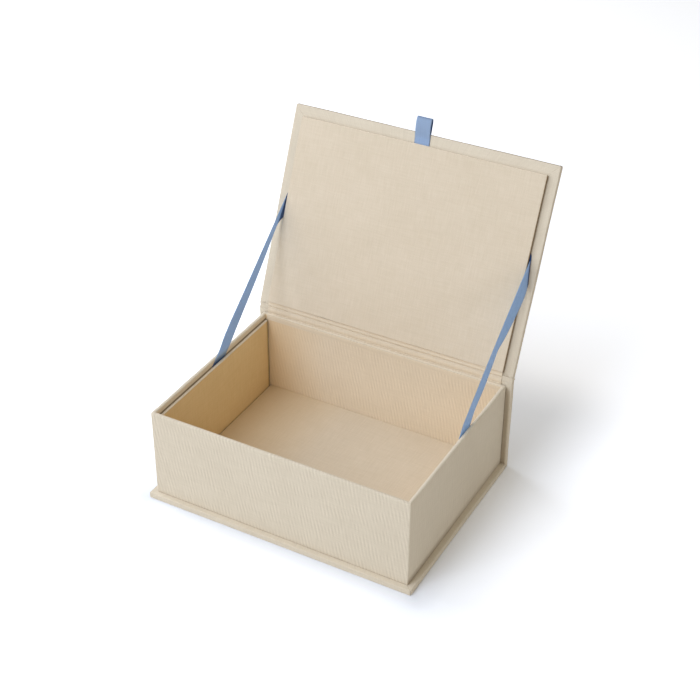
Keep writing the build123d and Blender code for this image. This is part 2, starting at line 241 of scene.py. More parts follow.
# Each square lamp's degrees right of the box's front, degrees up, width in metres and watts
lamps = {
    "window_front": (-18, 28, 1.0, 11.2),
    "window_left": (-100, 35, 1.0, 12.0),
    "window_high": (-30, 62, 1.0, 8.2),
    "white_card": (75, 8, 0.5, 2.2),
}
for name, (turn, rise, size, power) in lamps.items():
    light = bpy.data.lights.new(name, "AREA")
    light.size, light.energy, light.color = size, power, linear("#e6efff")[:3]
    lamp = bpy.data.objects.new(name, light)
    bpy.context.scene.collection.objects.link(lamp)
    way = way_from_box(turn, rise)
    lamp.location = lamp_distance * way + lamp_target
    lamp.rotation_euler = (-way).to_track_quat("-Z", "Y").to_euler()
bpy.context.scene.view_settings.view_transform = "Standard"
print(len(lamps), "lamps,", lamp_distance, "m from the box")

# %% [markdown]
# ## Book cloth
# Book cloth is a plain weave of cotton yarns, backed with thin paper so that glue can't come
# through. It is matt, a little fuzzy, and no two yarns are equally thick: the thick places, or
# slubs, show as faint streaks along both directions. Each piece of cloth carries a UV map named
# `yarns` that says where a point lies on the flat sheet, in metres, so that the weave follows
# the cloth round the edges. Noise stretched along one direction makes the streaks.

# %% Book cloth
# Real yarns lie about 0.45 mm apart. They are drawn 0.9 mm apart, the finest that can show.
yarn_pitch = 0.9
streak_width = 1.1
streak_length = 16.0
wale_pitch = 2.9
wale_lean = 0.2


def book_cloth(name, pale, deep):
    """Plain-weave book cloth. Height = streaks along the warp + streaks along the weft +
    sin(x / pitch) * sin(y / pitch), and its colour goes from deep to pale with the height.
    Three marks on a piece's points change it: `slub` gives thicker yarns, which make faint upright
    wales, one mixes in a warmer colour as painted warm reflected light, and one mixes in dark brown
    as painted shade in folds, gaps, edges and other places where little light gets."""
    cloth, add = new_material(name)
    yarns = add("UVMap", uv_map="yarns")
    coarse, fine = 1000 / streak_length, 1000 / streak_width
    streaks = []
    for number, scale in enumerate(((fine, coarse, 0), (coarse, fine, 0))):
        stretched = add("VectorMath", [yarns, scale], "MULTIPLY")
        shifted = add("VectorMath", [stretched, (0, 0, 7.3 * number)], "ADD")
        noise = {"Vector": shifted, "Scale": 1.0, "Detail": 2.0, "Roughness": 0.6}
        streaks.append(add("TexNoise", noise))
    warp, weft = streaks
    slubs = add("Math", [weft, 0.7, warp], "MULTIPLY_ADD")

    # The weave itself: one sine wave along each direction, multiplied
    turns = 2 * math.pi * 1000 / yarn_pitch / 2
    scaled = add("VectorMath", [yarns, (turns, turns, 0)], "MULTIPLY")
    waves = [add("Math", [axis], "SINE") for axis in add("SeparateXYZ", [scaled]).outputs[:2]]
    weave = add("Math", waves, "MULTIPLY")

    # Broad, faint clouds, as dye and glue leave them
    clouds = add("TexNoise", {"Vector": yarns, "Scale": 24.0, "Detail": 2.0, "Roughness": 0.5})

    # Wales: sin(2 pi (x + lean * y) / pitch + slow noise), in patches where the slub mark asks
    leaned = add("VectorMath", [yarns, (1.0, wale_lean, 0.0)], "DOT_PRODUCT").outputs["Value"]
    wander = add("Math", [clouds, 9.0], "MULTIPLY")
    phase = add("Math", [leaned, 2 * math.pi * 1000 / wale_pitch, wander], "MULTIPLY_ADD")
    patches = add("TexNoise", {"Vector": yarns, "Scale": 110.0, "Detail": 1.0})
    patches = add("MapRange", [patches, 0.35, 0.65])
    slub = add("Attribute", attribute_name="slub").outputs["Fac"]
    amount = add("Math", [slub, patches], "MULTIPLY")
    wales = add("Math", [add("Math", [phase], "SINE"), amount], "MULTIPLY")

    # Colour: streaks, weave, clouds and wales, each a small step from deep to pale, then the marks
    tone = add("MapRange", [slubs, 0.25, 1.45])
    for part, share in ((weave, 0.08), (clouds, 0.4), (wales, 0.42)):
        tone = add("Math", [part, share, tone], "MULTIPLY_ADD")
    tone = add("Math", [tone, -0.2], "ADD", use_clamp=True)
    colour = add("MixRGB", [tone, linear(deep), linear(pale)])
    # Painted warm reflected light, then painted shade, mixed in as far as each mark says
    for mark, marked in (("painted_warm_light", "#e7c68f"), ("painted_shade", "#6c5020")):
        amount = add("Attribute", attribute_name=mark).outputs["Fac"]
        colour = add("MixRGB", [amount, colour, linear(marked)])

    height = add("Math", [weave, 0.12, slubs], "MULTIPLY_ADD")
    height = add("Math", [wales, 0.3, height], "MULTIPLY_ADD")
    bump = add("Bump", {"Strength": 0.3, "Distance": 0.0003, "Height": height})
    surface = add("BsdfPrincipled", {
        "Base Color": colour, "Roughness": 0.88, "Specular IOR Level": 0.25,
        "Sheen Weight": 0.12, "Sheen Roughness": 0.45, "Normal": bump,
    })
    add("OutputMaterial", {"Surface": surface})
    return cloth


case_cloth = book_cloth("natural cotton book cloth, woven", "#e7dcc8", "#d5c9b4")
lining_cloth = book_cloth("natural cotton book cloth, lining", "#e7d9c4", "#d6c7ae")
# A more golden copy of the book cloth on the side liners, as painted warm shade on their faces
shaded_liner_cloth = book_cloth("natural cotton book cloth, golden as painted shade", "#ebcf9e", "#dabc86")
# A paler copy of the book cloth, as painted light on the tray's inside and on the hinge strip
painted_light_cloth = book_cloth("natural cotton book cloth, inside of the tray", "#f2e4cd", "#e2d3bb")
print("book cloth with yarns drawn", yarn_pitch, "mm apart")

# %% [markdown]
# ## Greyboard
# The boards are binder's board, made from waste paper pressed flat: dull grey, with darker and
# paler fibres. It hardly shows, but it closes every place where the cloth leaves a gap. These
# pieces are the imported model's own meshes, so they only get a material.

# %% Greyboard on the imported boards
greyboard, add = new_material("greyboard, pressed waste paper")
where = add("TexCoord").outputs["Object"]
fibres = add("TexNoise", {"Vector": where, "Scale": 900.0, "Detail": 4.0, "Roughness": 0.7})
shade = add("MixRGB", [fibres, linear("#7f7b72"), linear("#b5b0a5")])
rough = add("Bump", {"Strength": 0.4, "Distance": 0.0001, "Height": fibres})
surface = add("BsdfPrincipled", {
    "Base Color": shade, "Roughness": 0.95, "Specular IOR Level": 0.2, "Normal": rough,
})
add("OutputMaterial", {"Surface": surface})

boards = [name for name in frame["nodes"] if name.endswith(("board", "wall"))]
for name in boards:
    slots = frame["nodes"][name].data.materials
    if not slots:
        slots.append(greyboard)
    for number in range(len(slots)):
        slots[number] = greyboard
print("greyboard on", len(boards), "boards")

# %% [markdown]
# ## Cloth as a grid
# A sheet of cloth is a surface with two parameters, so it is worked out as a grid of points and
# turned into one mesh. Small tools do that: stations that crowd towards the edges, where cloth
# bends, a hand-glued waviness, and the mesh itself with its `yarns` map. Others give its points
# the marks that the book cloth reads, most of them made of a ramp or a peak along some distance.

# %% Tools for cloth grids


def ramp(value, start, end):
    """0 before start, 1 past end, and in proportion between. A start above the end turns it round."""
    return np.clip((value - start) / (end - start), 0, 1)


def peak(value, place, width):
    """1 at the place, and less to both sides: exp(-((value - place) / width) ** 2)."""
    return np.exp(-(((value - place) / width) ** 2))


def smoothed(line, rounds):
    """A line whose inner points become the mean of their neighbours (1, 2, 1), round after round."""
    for _ in range(rounds):
        line[1:-1] = (line[:-2] + 2 * line[1:-1] + line[2:]) / 4
    return line


def stations(half, count):
    """Positions from -half to half, crowded at both ends: half * (t + 0.97 sin(pi t) / pi)."""
    t = np.linspace(-1.0, 1.0, count)
    return half * (t + 0.97 * np.sin(math.pi * t) / math.pi)


def glued_waviness(flat, seed, height):
    """How far hand-glued cloth stands off its board: a sum of plane waves, the long ones highest,
    each sin(2 pi (across cos a + along sin a) / length + phase) of a point's place on the sheet."""
    count, shortest, longest = 24, 14.0, 70.0
    rng = np.random.default_rng(seed)
    angles, phases = rng.uniform(0, 2 * math.pi, (2, count))
    lengths = rng.uniform(shortest, longest, count)
    total = np.zeros(flat.shape[:-1])
    for angle, phase, length in zip(angles, phases, lengths):
        place = flat[..., 0] * math.cos(angle) + flat[..., 1] * math.sin(angle)
        total += np.sin(2 * math.pi * place / length + phase) * length / longest
    return total * height / 5


def grid_quads(rows, columns, closed=False):
    """The faces between neighbouring points of a grid that is numbered row by row."""
    r, c = np.meshgrid(np.arange(rows - 1), np.arange(columns if closed else columns - 1), indexing="ij")
    right = (c + 1) % columns
    corners = [r * columns + c, r * columns + right, (r + 1) * columns + right, (r + 1) * columns + c]
    return np.stack(corners, -1).reshape(-1, 4)


def cloth_piece(name, points, quads, flat, material):
    """A mesh object from points in mm, with the flat sheet's place of each point as its UVs."""
    mesh = bpy.data.meshes.new(name)
    mesh.from_pydata((points / 1000).reshape(-1, 3).tolist(), [], quads.tolist())
    yarns = mesh.uv_layers.new(name="yarns")
    corners = np.empty(len(mesh.loops), dtype=np.int32)
    mesh.loops.foreach_get("vertex_index", corners)
    yarns.data.foreach_set("uv", (flat / 1000).reshape(-1, 2)[corners].astype(np.float32).ravel())
    mesh.shade_smooth()
    mesh.materials.append(material)
    piece = bpy.data.objects.new(name, mesh)
    bpy.context.scene.collection.objects.link(piece)
    return piece


def points_of(piece):
    """The piece's points in mm, one row each."""
    places = np.empty(3 * len(piece.data.vertices))
    piece.data.vertices.foreach_get("co", places)
    return 1000 * places.reshape(-1, 3)


def mark_points(piece, name, values):
    """Gives each point of the piece a number from 0 to 1 that a material can read by name."""
    marks = piece.data.attributes.get(name) or piece.data.attributes.new(name, "FLOAT", "POINT")
    marks.data.foreach_set("value", values.ravel().astype(np.float32))


def add_painted_shade(piece, values):
    """Raises the piece's painted shade marks to the values, where those are higher."""
    marks = np.empty(len(piece.data.vertices))
    piece.data.attributes["painted_shade"].data.foreach_get("value", marks)
    mark_points(piece, "painted_shade", np.maximum(marks, values))


def give_thickness(piece, thickness, side=-1.0):
    """Solidify: the grid is the sheet's outer face, and the back is thickness mm behind it."""
    solid = piece.modifiers.new("thickness", "SOLIDIFY")
    solid.thickness, solid.offset, solid.use_even_offset = thickness / 1000, side, False


# %% [markdown]
# ## Wrapping a board
# The cloth starts as a rectangle on the show face. At each side it bends over the edge, runs
# down, bends again and is turned in on the back, where neighbouring strips meet in a 45 degree
# mitre. A Bevel on a box would round the edges as well, but it has no turn-ins, mitres or
# yarns. Here the show face is a grid, and the rest is a ring of rows that starts on its border.
# Each row has its own inset from the outline and its own depth, so the whole wrap is one array.

# %% The wrap's outline and rows


def rounded_outline(a, b, half_a, half_b, inset, corner):
    """Moves points of a rectangle's grid so that its corners are round. A point in a corner's
    square is pulled towards the corner's centre by max(|dx|, |dy|) / hypot(dx, dy)."""
    radius = np.maximum(corner - inset, 0.0)
    x, y = a * (half_a - inset), b * (half_b - inset)
    centre_x = np.clip(x, -(half_a - inset - radius), half_a - inset - radius)
    centre_y = np.clip(y, -(half_b - inset - radius), half_b - inset - radius)
    dx, dy = x - centre_x, y - centre_y
    pull = np.maximum(np.abs(dx), np.abs(dy)) / np.maximum(np.hypot(dx, dy), 1e-9)
    return centre_x + dx * pull, centre_y + dy * pull


def border_of(columns, rows):
    """The numbers of a grid's border points, once round, counter-clockwise from its first point."""
    number = np.arange(rows * columns).reshape(rows, columns)
    return np.concatenate([number[0, :-1], number[:-1, -1], number[-1, :0:-1], number[:0:-1, 0]])


def edge_rows(thickness, radius, turned):
    """Inset and depth of each row of the wrap: a quarter circle of the radius, the side, a second
    quarter circle, then the turned-in strip."""
    bend = np.radians(np.linspace(0, 90, 7))[1:]
    falling, rising = radius * (1 - np.sin(bend)), radius * (1 - np.cos(bend))
    side = np.linspace(radius, thickness - radius, 6)[1:]
    strip = radius + (turned - radius) * np.linspace(0, 1, 12)[1:] ** 1.6
    inset = np.concatenate([falling, 0 * side, rising, strip])
    depth = np.concatenate([rising, side, thickness - falling, thickness + 0 * strip])
    return inset, depth


def outward_ways(x, y, half_a, half_b, corner):
    """Unit vectors away from a round-cornered rectangle, at points of its border."""
    ways = np.stack([x - np.clip(x, corner - half_a, half_a - corner),
                     y - np.clip(y, corner - half_b, half_b - corner)])
    return ways / np.hypot(*ways)


# %% One sheet of cloth round a board


def wrapped_board(name, corner, across, along, width, length, thickness, turned, seed, open_foot=False,
                  material=None, radius=edge_radius, round_corner=1.3, wave=0.16,
                  tuck=0.0, face_wave=1.0, dark_sides=0.0, dark_ends=0.0, dark_back=0.0,
                  dark_strip=0.0, edge_material=None):
    """A board's cloth. corner is where the show face's foot meets its middle line, across and
    along are its directions, and the board lies behind it. With open_foot the board and the cloth
    go on under the next piece, so the sheet is cut at the foot. wave is the show face's waviness
    in mm, of which face_wave stays on it, and tuck how far the corners' folds stand out.
    dark_sides, dark_ends and dark_back say how much painted shade darkens the cloth on the sides,
    the ends and the back, where little light gets, and dark_strip how many mm of the show face get
    painted shade along its positive side. The edges and the back can have an edge_material of their own."""
    behind = -np.cross(across, along)
    extra = turned + 6.0 if open_foot else 0.0
    half_a, half_b = width / 2, (length + extra) / 2
    a, b = np.meshgrid(stations(1.0, 71), stations(1.0, 61))
    rows, columns = a.shape
    x, y = rounded_outline(a, b, half_a, half_b, radius, round_corner)

    border = border_of(columns, rows)
    border_a, border_b = a.ravel()[border], b.ravel()[border]
    inset, depth = edge_rows(thickness, radius, turned)
    ring_x, ring_y = rounded_outline(
        border_a[None], border_b[None], half_a, half_b, inset[:, None], round_corner)

    # Which way the cloth leaves the show face, and how far along it each row is
    out = outward_ways(border_a * half_a, border_b * half_b, half_a, half_b, round_corner)
    steps = np.hypot(np.diff(np.append(radius, inset)), np.diff(np.append(0.0, depth)))
    run = np.cumsum(steps)[:, None]
    flat = np.concatenate([
        np.stack([x.ravel(), y.ravel()], -1),
        np.stack([x.ravel()[border] + out[0] * run, y.ravel()[border] + out[1] * run], -1).reshape(-1, 2),
    ])

    # Each point's place in plan, its depth, and where that is on the way from show face to back
    plan_x, plan_y = np.append(x.ravel(), ring_x.ravel()), np.append(y.ravel(), ring_y.ravel())
    level = np.append(np.zeros(x.size), np.repeat(depth, len(border)))
    out_x, out_y = np.append(np.zeros((2, x.size)), np.tile(out, len(inset)), axis=1)
    from_side, from_end = half_a - np.abs(plan_x), half_b - np.abs(plan_y)
    from_foot = plan_y + half_b - extra
    turn = math.pi * ramp(level, 0.0, thickness)
    on_back = ramp(level, thickness - 0.4, thickness)

    # Waviness fades at the back, which is glued to its neighbours, and towards a cut foot
    lift = glued_waviness(flat, seed, wave) - 0.35 * wave
    lift *= 1 - 0.8 * ramp(level, 0.0, thickness)
    lift[level < 0.5] *= face_wave
    if open_foot:
        lift *= ramp(from_foot, 1.0, 13.0)

    # Mitres: a shallow seam where the strips meet on the back
    seam_depth, seam_width = 0.22, 0.28
    lift -= on_back * seam_depth * peak((from_side - from_end) / math.sqrt(2), 0.0, seam_width)

    # Tucks: at each corner the spare cloth is folded under, and one fold shows on the edge
    fold = peak(from_side, 1.7, 0.55) - 0.7 * peak(from_side, 2.8, 0.4)
    lift += tuck * np.sin(turn) * (from_end < 0.6) * fold

    # Painted shade: cloth in a narrow gap, on an edge or on the back, where little light gets, is painted
    # darker
    in_gap = dark_sides * np.abs(out_x) + dark_ends * np.abs(out_y)
    in_gap *= ramp(level, 0.15, 0.45) * (1 - on_back)
    if dark_strip:
        in_gap += 0.55 * (level < 0.4) * ramp(plan_x, half_a - dark_strip, half_a - 0.55 * dark_strip)
    in_gap += dark_back * on_back * ramp(from_side, 1.0, 1.8) * ramp(from_foot, 4.5, 6.5)

    # Outwards is away from the board: forwards on the show face, sideways on the edge, back behind
    sideways = lift * np.sin(turn) ** 0.5
    plan_x, plan_y, level = plan_x + sideways * out_x, plan_y + sideways * out_y, level - lift * np.cos(turn)
    middle = corner + along * (length - extra) / 2
    points = middle + plan_x[:, None] * across + plan_y[:, None] * along + level[:, None] * behind
    # The base's cloth lies flat on the paper
    points[:, 2] = np.maximum(points[:, 2], 0.0)

    # The ring's first row is the border itself, so its faces start from the grid's own points
    ring_numbers = np.append(border, rows * columns + np.arange(ring_x.size))
    ring = ring_numbers[grid_quads(len(inset) + 1, len(border), closed=True)][:, [0, 3, 2, 1]]
    quads = np.concatenate([grid_quads(rows, columns), ring])
    piece = cloth_piece(name, points, quads, flat, material or case_cloth)
    mark_points(piece, "painted_shade", in_gap)
    if edge_material:
        piece.data.materials.append(edge_material)
        on_edge = np.arange(len(quads)) >= (rows - 1) * (columns - 1)
        piece.data.polygons.foreach_set("material_index", on_edge.astype(np.int32))

    if open_foot:
        sheet = bmesh.new()
        sheet.from_mesh(piece.data)
        bmesh.ops.bisect_plane(sheet, geom=sheet.verts[:] + sheet.edges[:] + sheet.faces[:], dist=1e-7,
                               plane_co=Vector(corner / 1000), plane_no=Vector(along), clear_inner=True)
        sheet.to_mesh(piece.data)
        sheet.free()
    give_thickness(piece, cloth_thickness)
    print(f"{name}: {width:.1f} x {length:.1f} mm, {len(piece.data.polygons)} faces")
    return piece


# %% [markdown]
# ## Base, spine and lid
# The case's three boards share one sheet on the real box. Here each board has its own wrap, cut
# flush where the cloth goes over to the next board, because the lid's part has to move with the
# lid. The base shows its edge round the tray, the spine and the lid show theirs as well.

# %% Wrapped base, spine and lid
x_axis, y_axis, z_axis = np.eye(3)

base_wrap = wrapped_board(
    "base_wrap", np.array([0, tray_half_depth, 0.0]), x_axis, -y_axis, 2 * case_half_width,
    tray_half_depth - case_front, case_thickness, turned_in, 11, open_foot=True, tuck=0.42, face_wave=0.0)
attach(base_wrap, "tray")
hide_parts("base_cloth")

joint_foot = 82.2
# Painted shade on the spine's turned-in strip beside the tray wall
spine_wrap = wrapped_board(
    "spine_wrap", np.array([0, spine_back, joint_foot]), x_axis, -z_axis, 2 * case_half_width,
    joint_foot, case_thickness, turned_in, 12, open_foot=True, tuck=0.3, dark_back=0.4)
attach(spine_wrap, "tray")
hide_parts("spine_cloth")

# Painted shade along the lid's free edge
lid_wrap = wrapped_board(
    "lid_wrap", on_lid(0, lid_foot, -case_thickness), -x_axis, up_lid, 2 * case_half_width,
    lid_length - lid_foot + 0.5, case_thickness, turned_in, 13, open_foot=True, tuck=0.3, dark_ends=0.45)
# Painted shadow on the lid's border: along the panel's right edge, and most beside the ribbon's end, as if
# cast by the panel and the ribbon
ribbon_end = 79.5
places = points_of(lid_wrap) - lid_corner
from_panel, place_up = places[:, 0] - panel_half_width, places @ up_lid
beside = (places @ into_lid > -0.6) * (from_panel > -1.0) * ramp(place_up, panel_head + 0.8, panel_head - 2.2)
painted_edge_shadow = 0.3 * ramp(from_panel, 5.0, 0.0) ** 1.5
painted_ribbon_shadow = 0.42 * np.exp(-(((place_up - ribbon_end) / 12) ** 4)) * ramp(from_panel, 14.0, 0.0)
add_painted_shade(lid_wrap, beside * np.maximum(painted_edge_shadow, painted_ribbon_shadow))
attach(lid_wrap, "lid")
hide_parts("lid_cloth")

# %% [markdown]
# ## Panel inside the lid
# A thinner covered board is glued on the lid's inner face. It hides the turned-in edges of the
# lid's own cloth and the ribbon ends, so it stands a ribbon's thickness off the lid. The middle
# of the panel is left bare.

# %% Lid panel
panel_face = 2.1
# Painted shade in the gaps at the panel's sides, and a painted dark strip along its right edge
panel_wrap = wrapped_board(
    "panel_wrap", on_lid(0, panel_foot, panel_face), x_axis, up_lid, 2 * panel_half_width,
    panel_head - panel_foot, panel_face - ribbon_thickness, 12.0, 14, material=lining_cloth,
    radius=0.6, round_corner=0.9, dark_sides=0.95, dark_strip=0.9)
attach(panel_wrap, "lid")
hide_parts("lid_panel_cloth")

# %% [markdown]
# ## Liners
# Two covered boards stand against the tray's side walls, 5 mm lower than the walls, and a third
# one lies on the floor between them. The ribbons come up through the slots behind the side
# liners, which is why those stand off the walls by a ribbon's thickness.

# %% Side liners and floor liner
liner_face = 102.85
liner_back = 105.1
liner_top = 74.2
liner_half_depth = 77.1
# Painted shade in the gaps round the side liners, and a painted dark strip at the left liner's back edge
for side, name, seed in ((1, "right", 21), (-1, "left", 22)):
    liner = wrapped_board(
        f"{name}_liner_wrap", np.array([side * liner_face, 0, tray_floor_top]), -side * y_axis, z_axis,
        2 * liner_half_depth, liner_top - tray_floor_top, liner_back - liner_face, turned_in, seed,
        material=shaded_liner_cloth, radius=0.7, round_corner=0.9, wave=0.12,
        dark_sides=0.8, dark_strip=2.8 if side < 0 else 0.0, edge_material=lining_cloth)
    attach(liner, "tray")
    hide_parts(f"{name}_liner_cloth")

floor_liner_top = 9.1
floor_front, floor_length, floor_half_width = -77.6, 155.45, 102.35
# Painted shade in the gaps at the floor liner's sides
floor_wrap = wrapped_board(
    "floor_liner_wrap", np.array([0, floor_front, floor_liner_top]), x_axis, y_axis, 2 * floor_half_width,
    floor_length, floor_liner_top - tray_floor_top, turned_in, 23, material=lining_cloth,
    radius=0.4, round_corner=0.9, wave=0.12, dark_sides=0.7)
# Painted shade and painted warm reflected light on its left side, along the golden liner
to_liner = -points_of(floor_wrap)[:, 0]
add_painted_shade(floor_wrap, 0.17 * ramp(to_liner, 45, 100))
mark_points(floor_wrap, "painted_warm_light", 0.6 * ramp(to_liner, 25, 100))
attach(floor_wrap, "tray")
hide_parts("floor_liner_cloth")

# %% [markdown]
# ## Tray wrap
# One long strip goes round the four walls. Its lower edge is turned in under the tray, and its
# upper edge goes over the top of the walls and down the inside to the floor. So it is a closed
# ring with one section all round: the same rounded outline as before, with rows that go from
# under the tray, up the outside, over the top, and down the inside.

# %% Tray wrap's rows


def tray_rows():
    """Inset and height of each row of the tray's cloth, from under the tray to the inside foot."""
    bend = np.radians(np.linspace(0, 90, 7))[1:]
    falling, rising = 1 - np.sin(bend), 1 - np.cos(bend)
    foot, lip = 0.6, 0.95
    under = np.linspace(turned_in, foot, 5)
    outside = np.linspace(tray_bottom + foot, tray_top - lip, 26)[1:]
    top = np.linspace(lip, wall_thickness - lip, 3)[1:]
    inside = np.append([77.0, 75.4, 75.0, 74.6], np.linspace(73, tray_floor_top, 20))
    inset = np.concatenate([under, foot * falling, 0 * outside, lip * rising, top,
                            wall_thickness - lip * falling, wall_thickness + 0 * inside])
    height = np.concatenate([tray_bottom + 0 * under, tray_bottom + foot * rising, outside,
                             tray_top - lip * falling, tray_top + 0 * top, tray_top - lip * rising, inside])
    return inset, height


# %% Tray wrap
columns, rows = 81, 67
a, b = np.meshgrid(stations(1.0, columns), stations(1.0, rows))
border = border_of(columns, rows)
border_a, border_b = a.ravel()[border], b.ravel()[border]
inset, height = tray_rows()
row_inset, row_height = inset[:, None], height[:, None]
corner_radius = 0.9
ring_x, ring_y = rounded_outline(
    border_a[None], border_b[None], tray_half_width, tray_half_depth, row_inset, corner_radius)

# Round the tray the yarns' place is the distance walked; up and over it is the distance climbed
outline_x, outline_y = rounded_outline(
    border_a, border_b, tray_half_width, tray_half_depth, 0.0, corner_radius)
walked = np.append(0.0, np.cumsum(np.hypot(np.diff(outline_x), np.diff(outline_y))))
climbed = np.append(0.0, np.cumsum(np.hypot(np.diff(inset), np.diff(height))))
flat = np.stack(np.meshgrid(walked, climbed), -1)

# Nothing stands against the outside, so it is wavy outwards. The inside only sinks a little
outwards_x, outwards_y = outward_ways(outline_x, outline_y, tray_half_width, tray_half_depth, corner_radius)
wave = glued_waviness(flat, 31, 0.2) - 0.06
outer_face = ramp(row_height, tray_bottom + 2, tray_bottom + 8) * (row_inset < 0.5)
inner_face = ramp(row_height, tray_top - 1.5, tray_top - 7.5) * (row_inset > wall_thickness - 0.5)
inner_face = inner_face * (row_height > tray_bottom + 1)
moved = wave * outer_face + 0.4 * (wave - wave.min()) * inner_face
ring_x, ring_y = ring_x + moved * outwards_x, ring_y + moved * outwards_y

# The wall tops: the cloth is cut and lapped at each corner, and a little uneven between them
on_top = ramp(row_height, tray_top - 0.9, tray_top)
off_mitre = ((tray_half_width - np.abs(ring_x)) - (tray_half_depth - np.abs(ring_y))) / math.sqrt(2)
ring_z = row_height - on_top * (0.16 * peak(off_mitre, 0.0, 0.25) + 0.06)
ring_z = ring_z + on_top * glued_waviness(flat * (1, 0), 32, 0.12)

points = np.stack([ring_x, ring_y, ring_z], -1)
quads = grid_quads(len(inset), len(border), closed=True)
tray_wrap = cloth_piece("tray_wrap", points, quads, flat, case_cloth)

# The last column's yarns would jump back to zero, so its faces get the full walk instead
yarns = tray_wrap.data.uv_layers["yarns"].data
uv = np.empty(2 * len(yarns), dtype=np.float32)
yarns.foreach_get("uv", uv)
uv = uv.reshape(-1, 4, 2)
closing = (uv[:, :, 0].max(1) - uv[:, :, 0].min(1)) > 0.1
full_walk = (walked[-1] + math.hypot(outline_x[0] - outline_x[-1], outline_y[0] - outline_y[-1])) / 1000
uv[closing, :, 0] = np.where(uv[closing, :, 0] < 0.1, full_walk, uv[closing, :, 0])
yarns.foreach_set("uv", uv.ravel())
print("tray wrap:", len(tray_wrap.data.polygons), "faces, walked", round(full_walk * 1000), "mm")

# %% Marks and finish of the tray wrap
on_outside, on_inside = row_inset < 0.5, row_inset > wall_thickness - 0.1
side_wall = np.abs(outwards_x) > 0.5
# The thick yarns stand upright on the strip and show most on the long walls
slub = np.clip(2.0 * np.abs(outwards_y) - 0.7, 0.25, 1.0)
mark_points(tray_wrap, "slub", np.broadcast_to(slub, ring_x.shape))

# Painted shade: in the slots behind the side liners, on the back wall where it meets the spine, and on the
# walls' tops
behind_liner = on_inside * side_wall * ramp(row_height, 75.4, 75.0)
at_spine = on_outside * ramp(outwards_y, 0.25, 0.55)
painted_top_shade = np.where(side_wall, 0.13 * on_inside * ramp(row_height, 78.6, 78.0), 0.09 * on_top)
# Painted shade along the wall's foot, where it meets the base, most on the right, towards the front
painted_right_foot_shade = (outwards_x > 0.5) * (0.36 + 0.3 * ramp(ring_y, 30, -80))
painted_right_foot_shade = painted_right_foot_shade * ramp(row_height, tray_bottom + 6.6, tray_bottom + 0.6)
painted_foot_shade = on_outside * np.maximum(0.42 * (row_height < tray_bottom + 0.55), painted_right_foot_shade)
mark_points(tray_wrap, "painted_shade", np.maximum.reduce([painted_top_shade, 0.66 * behind_liner, at_spine, painted_foot_shade]))
# Painted warm reflected light on the back wall's inside, towards the left liner
mark_points(tray_wrap, "painted_warm_light", 0.5 * on_inside * (outwards_y > 0.5) * ramp(ring_x, -50, -100))

# Inside, the tray's cloth is a paler copy of the book cloth, as painted light
tray_wrap.data.materials.append(painted_light_cloth)
inner_faces = np.repeat(on_inside[:-1], len(border))
tray_wrap.data.polygons.foreach_set("material_index", inner_faces.astype(np.int32))
give_thickness(tray_wrap, cloth_thickness, side=1.0)
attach(tray_wrap, "tray")
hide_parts("tray_wrap_cloth")
print(f"{inner_faces.sum()} of them are inside the tray")

# %% [markdown]
# ## Cloth joint
# Between the spine and the lid there is only cloth. Outside, the case's cloth swells out behind
# the gap; its two ends are folded over and turned in, so inside there are 16 mm strips. The
# inner strip, the hinge lining, covers the rest: down over the top of the tray's back wall, up
# the spine and onto the lid.

# %% Outer joint


def finish_mesh(piece):
    """Applies the piece's modifiers, so that the mesh holds its final points."""
    view = bpy.context.evaluated_depsgraph_get()
    mesh = bpy.data.meshes.new_from_object(piece.evaluated_get(view))
    piece.modifiers.clear()
    piece.data = mesh


def joint_line(first, last, first_way, last_way, count, pull):
    """A cubic Bezier curve from first to last that leaves and arrives along the two ways:
    (1-t)^3 A + 3 (1-t)^2 t B + 3 (1-t) t^2 C + t^3 D."""
    t = np.linspace(0, 1, count)[:, None]
    second, third = first + pull * first_way, last - pull * last_way
    return (1 - t) ** 3 * first + 3 * (1 - t) ** 2 * t * second + 3 * (1 - t) * t**2 * third + t**3 * last


joint_rows = 13
joint_width = 4.0
bulge = 1.25
outer_foot, outer_head = np.array([0, spine_back, joint_foot]), on_lid(0, lid_foot, -case_thickness)
inner_foot, inner_head = np.array([0, tray_half_depth, joint_foot]), on_lid(0, lid_foot)
outer = joint_line(outer_foot, outer_head, z_axis + 0.75 * y_axis, up_lid - 0.75 * y_axis, joint_rows, bulge)
inner = joint_line(inner_foot, inner_head, z_axis, up_lid, joint_rows, 1.0)

# Once round: share is 0 on the outer face and 1 on the inner one, with a half turn at each end
inset, depth = edge_rows(case_thickness, edge_radius, turned_in)
share = depth / case_thickness
face = stations(case_half_width - edge_radius, 61)
round_x = np.concatenate([-(case_half_width - inset[::-1]), face, case_half_width - inset])
round_share = np.concatenate([share[::-1], 0 * face, share])
steps = np.hypot(np.diff(round_x), np.diff(round_share * case_thickness))
round_flat = np.append(0.0, np.cumsum(steps)) - steps.sum() / 2
points = outer[:, None] * (1 - round_share[None, :, None]) + inner[:, None] * round_share[None, :, None]
# There is no board in the ends. The right one swells out a little, and the left one sinks in
swell = np.sin(math.pi * np.linspace(0, 1, joint_rows))[:, None] ** 1.5
points[..., 0] = round_x + swell * (0.35 * ramp(round_x, 100, 110) + 0.5 * ramp(round_x, -100, -110))
flat = np.stack(np.meshgrid(round_flat, np.linspace(0, joint_width, joint_rows)), -1)
quads = grid_quads(joint_rows, len(round_x))[:, ::-1]
joint_cloth = cloth_piece("joint_cloth", points, quads, flat, case_cloth)
give_thickness(joint_cloth, cloth_thickness)
finish_mesh(joint_cloth)
# Both edges of its outer face end exactly on the spine and on the lid, so no slit opens there
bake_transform(joint_cloth)
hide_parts("hinge_cloth")
print("joint cloth:", len(joint_cloth.data.polygons), "faces")

# %% Inner strip, pressed into a crease at the lid's edge and one at the foot of the spine
strip_half = 104.1
inside_back = tray_half_depth - wall_thickness
